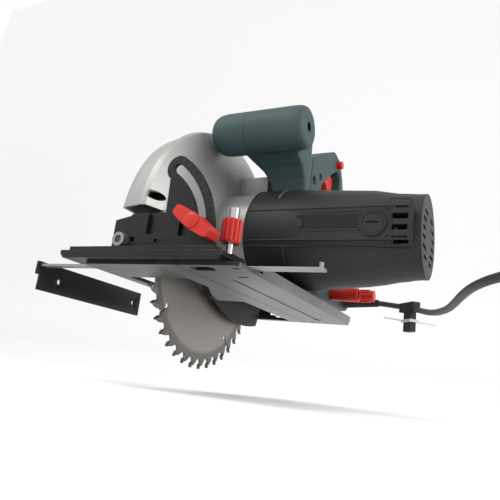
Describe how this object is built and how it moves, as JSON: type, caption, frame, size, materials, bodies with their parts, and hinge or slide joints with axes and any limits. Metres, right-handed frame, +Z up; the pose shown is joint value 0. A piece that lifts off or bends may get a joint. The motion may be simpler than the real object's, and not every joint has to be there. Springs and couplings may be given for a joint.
{
  "type": "corded circular saw",
  "caption": "Corded circular saw with bevel sole, depth hinge, cast upper guard, swinging lower guard, toothed blade, motor, front grip, closed rear handle and parallel fence.",
  "frame": {"origin": "on the cut line, in the plane of the sole's underside, straight below the blade's arbor", "axes": "+X from the blade towards the motor, -Y the cutting direction, +Z up from the sole"},
  "size_m": [0.4695, 0.332, 0.2625],
  "materials": {
    "cast_silver": "satin cast",
    "charcoal_plastic": "fine texture",
    "green_plastic": "fine texture",
    "red_plastic": "semi-gloss",
    "black_paint": "satin",
    "zinc_steel": "zinc plated",
    "sole_steel": "satin grey",
    "blade_steel": "satin ground",
    "carbide": "ground",
    "guard_dark": "satin",
    "bright_steel": "turned",
    "copper": "varnished wire",
    "laminated_steel": "laminated",
    "black_rubber": "matt",
    "nylon_white": "translucent",
    "badge": "blank"
  },
  "bodies": {
    "base": {"base_plate": "sole_steel", "front_rail": "black_paint", "front_bracket": "black_paint", "pivot_screws": "zinc_steel", "rear_bracket": "black_paint", "fence_clamp_bridge": "black_paint"},
    "fence_clamp": {"fence_clamp_screw": "bright_steel", "fence_clamp_knob": "red_plastic"},
    "fence": {"fence_bar": "zinc_steel", "fence_stop_pin": "zinc_steel", "fence_shoe": "black_paint"},
    "tilt_frame": {"tilt_bracket": "black_paint", "bevel_bolt": "zinc_steel", "depth_hinge_pin": "bright_steel", "depth_arm": "zinc_steel"},
    "bevel_handle": {"bevel_knob": "red_plastic"},
    "blade_unit": {"spindle": "bright_steel", "drive_gear": "bright_steel", "inner_flange": "bright_steel", "outer_flange": "bright_steel", "blade": "blade_steel", "carbide_tips": "carbide", "blade_bolt": "zinc_steel"},
    "rotor": {"armature_shaft": "bright_steel", "rotor_core": "laminated_steel", "commutator": "copper", "cooling_fan": "charcoal_plastic"},
    "lower_guard_unit": {"lower_guard": "guard_dark", "guard_lever": "red_plastic"},
    "trigger_unit": {"trigger": "red_plastic"},
    "lock_off": {"lock_button": "red_plastic"},
    "depth_lock": {"depth_lever": "red_plastic", "depth_lock_bolt": "zinc_steel"},
    "head": {"badge_plate": "badge", "ball_bearings": "bright_steel", "brush_caps": "charcoal_plastic", "cable_tie": "nylon_white", "carbon_brushes": "carbide", "cord_coil": "black_rubber", "cord_tube": "black_rubber", "dust_port": "red_plastic", "end_cap": "charcoal_plastic", "field_winding": "copper", "front_grip_left": "green_plastic", "front_grip_right": "green_plastic", "gear_housing": "cast_silver", "guard_cover": "cast_silver", "guard_spring": "bright_steel", "handle_left_shell": "green_plastic", "handle_right_shell": "green_plastic", "housing_screws": "bright_steel", "key_clip": "black_rubber", "motor_housing": "charcoal_plastic", "palm_strip": "black_rubber", "plug_body": "black_rubber", "stator_core": "laminated_steel", "strain_relief": "black_rubber", "switch_body": "badge", "upper_guard": "cast_silver"}
  },
  "joints": [
    {"name": "bevel_tilt", "type": "hinge", "parent": "base", "child": "tilt_frame", "pos_m": [0.0015, 0, 0.021], "axis": [0, -1, 0], "range_deg": [0, 45]},
    {"name": "depth_swing", "type": "hinge", "parent": "tilt_frame", "child": "head", "pos_m": [0, -0.1195, 0.038], "axis": [1, 0, 0], "range_deg": [0, 32]},
    {"name": "blade_spin", "type": "hinge", "parent": "head", "child": "blade_unit", "pos_m": [0, 0, 0.03], "axis": [1, 0, 0], "continuous": true},
    {"name": "rotor_spin", "type": "hinge", "parent": "head", "child": "rotor", "pos_m": [0, 0, 0.06062], "axis": [1, 0, 0], "continuous": true},
    {"name": "guard_swing", "type": "hinge", "parent": "head", "child": "lower_guard_unit", "pos_m": [0, 0, 0.03], "axis": [1, 0, 0], "range_deg": [-112, 0], "stiffness_Nm_per_rad": 0.25, "springref_deg": -148.97},
    {"name": "trigger_pull", "type": "hinge", "parent": "head", "child": "trigger_unit", "pos_m": [0.074, 0.08, 0.16], "axis": [1, 0, 0], "range_deg": [0, 8], "stiffness_Nm_per_rad": 0.6, "springref_deg": -11.46},
    {"name": "lock_push", "type": "slide", "parent": "head", "child": "lock_off", "axis": [-1, 0, 0], "range_m": [0, 0.003], "stiffness_N_per_m": 400, "springref_m": -0.003},
    {"name": "depth_lever_turn", "type": "hinge", "parent": "head", "child": "depth_lock", "pos_m": [0.1, 0.15, 0.038], "axis": [1, 0, 0], "range_deg": [0, 60]},
    {"name": "bevel_knob_turn", "type": "hinge", "parent": "tilt_frame", "child": "bevel_handle", "pos_m": [0.07082, -0.14, 0.03074], "axis": [0, 1, 0], "range_deg": [-60, 60]},
    {"name": "fence_slide", "type": "slide", "parent": "base", "child": "fence", "axis": [1, 0, 0], "range_m": [-0.05, 0.04]},
    {"name": "fence_clamp_turn", "type": "hinge", "parent": "base", "child": "fence_clamp", "pos_m": [0.0855, -0.114, 0.02], "axis": [0, 0, 1], "range_deg": [-180, 180]}
  ],
  "couplings": [
    {"joint": "rotor_spin", "follows": "blade_spin", "ratio": -3.9}
  ]
}
